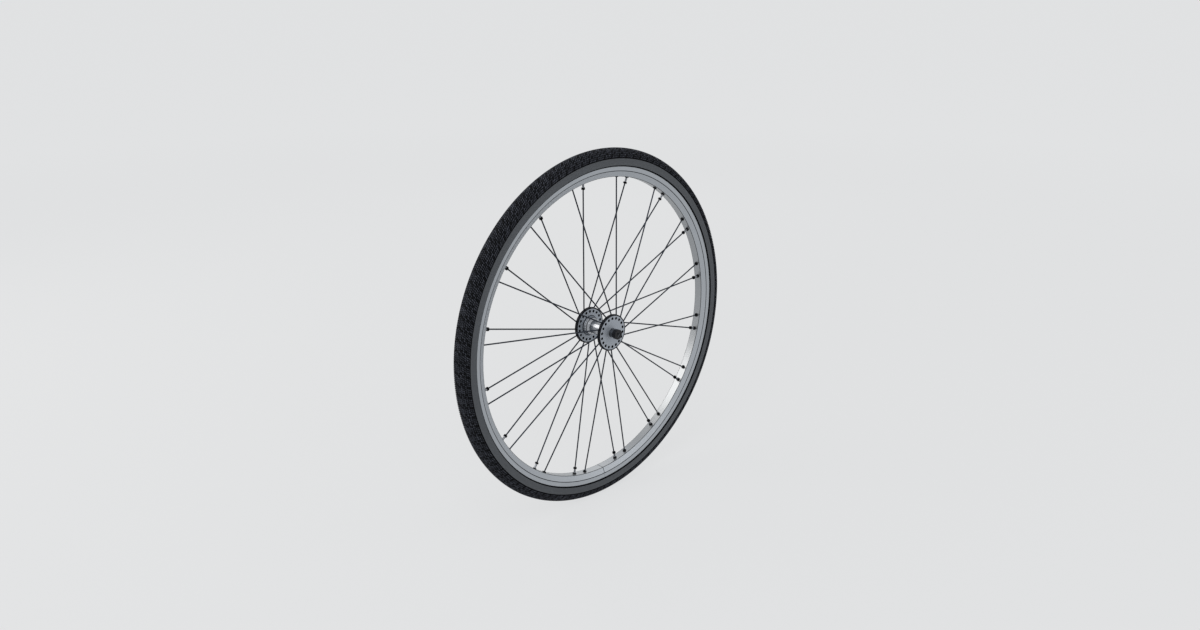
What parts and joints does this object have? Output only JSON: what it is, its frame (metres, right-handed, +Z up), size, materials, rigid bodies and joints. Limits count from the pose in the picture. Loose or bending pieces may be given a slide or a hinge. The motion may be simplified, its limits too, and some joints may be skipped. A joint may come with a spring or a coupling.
{
  "type": "bicycle wheel",
  "caption": "Front bicycle wheel: rubber tyre on a straight-sided alloy rim, crossed straight spokes to drilled hub flanges, and a bearing hub bored through for an axle bolt.",
  "frame": {"origin": "the wheel's centre: on the axle's axis, halfway between the two ends of the hub", "axes": "+Y along the axle towards the wheel's left side, +Z up, +X forwards; wheel angles run from +X towards +Z"},
  "size_m": [0.699, 0.1, 0.699],
  "materials": {
    "tyre": "matt black rubber tread with dark grey sidewalls",
    "insert": "closed-cell foam",
    "tape": "woven cotton",
    "rim": "satin, as extruded",
    "sleeve": "mill finish",
    "eyelets": "black plated",
    "nipples": "nickel plated",
    "spokes": "drawn steel",
    "hub_shell": "polished barrel, satin flanges",
    "bearing_steel": "ground",
    "balls": "polished",
    "cage": "moulded nylon",
    "seal": "moulded",
    "axle": "turned",
    "spacers": "polished",
    "end_caps": "black anodised"
  },
  "bodies": {
    "axle": {"axle": "axle", "spacer_left": "spacers", "spacer_right": "spacers", "end_cap_left": "end_caps", "end_cap_right": "end_caps", "bearing_inner_ring_left": "bearing_steel", "bearing_inner_ring_right": "bearing_steel"},
    "wheel": {"tyre": "tyre", "tyre_insert": "insert", "rim_tape": "tape", "rim": "rim", "rim_joint_sleeve": "sleeve", "eyelets": "eyelets", "nipples_left": "nipples", "nipples_right": "nipples", "spoke_left_01": "spokes", "spoke_left_02": "spokes", "spoke_left_03": "spokes", "spoke_left_04": "spokes", "spoke_left_05": "spokes", "spoke_left_06": "spokes", "spoke_left_07": "spokes", "spoke_left_08": "spokes", "spoke_left_09": "spokes", "spoke_left_10": "spokes", "spoke_left_11": "spokes", "spoke_left_12": "spokes", "spoke_left_13": "spokes", "spoke_left_14": "spokes", "spoke_left_15": "spokes", "spoke_left_16": "spokes", "spoke_right_01": "spokes", "spoke_right_02": "spokes", "spoke_right_03": "spokes", "spoke_right_04": "spokes", "spoke_right_05": "spokes", "spoke_right_06": "spokes", "spoke_right_07": "spokes", "spoke_right_08": "spokes", "spoke_right_09": "spokes", "spoke_right_10": "spokes", "spoke_right_11": "spokes", "spoke_right_12": "spokes", "spoke_right_13": "spokes", "spoke_right_14": "spokes", "spoke_right_15": "spokes", "spoke_right_16": "spokes", "hub_shell": "hub_shell", "dust_cover_left": "hub_shell", "dust_cover_right": "hub_shell", "bearing_outer_ring_left": "bearing_steel", "bearing_outer_ring_right": "bearing_steel", "bearing_seal_left": "seal", "bearing_seal_right": "seal"},
    "left_cage": {"bearing_cage_left": "cage", "bearing_balls_left": "balls"},
    "right_cage": {"bearing_cage_right": "cage", "bearing_balls_right": "balls"}
  },
  "joints": [
    {"name": "wheel_spin", "type": "hinge", "parent": "axle", "child": "wheel", "pos_m": [0, 0, 0], "axis": [0, 1, 0], "continuous": true},
    {"name": "left_cage_spin", "type": "hinge", "parent": "axle", "child": "left_cage", "pos_m": [0, 0, 0], "axis": [0, 1, 0], "continuous": true},
    {"name": "right_cage_spin", "type": "hinge", "parent": "axle", "child": "right_cage", "pos_m": [0, 0, 0], "axis": [0, 1, 0], "continuous": true}
  ],
  "couplings": [
    {"joint": "left_cage_spin", "follows": "wheel_spin", "ratio": 0.61905},
    {"joint": "right_cage_spin", "follows": "wheel_spin", "ratio": 0.61905}
  ]
}
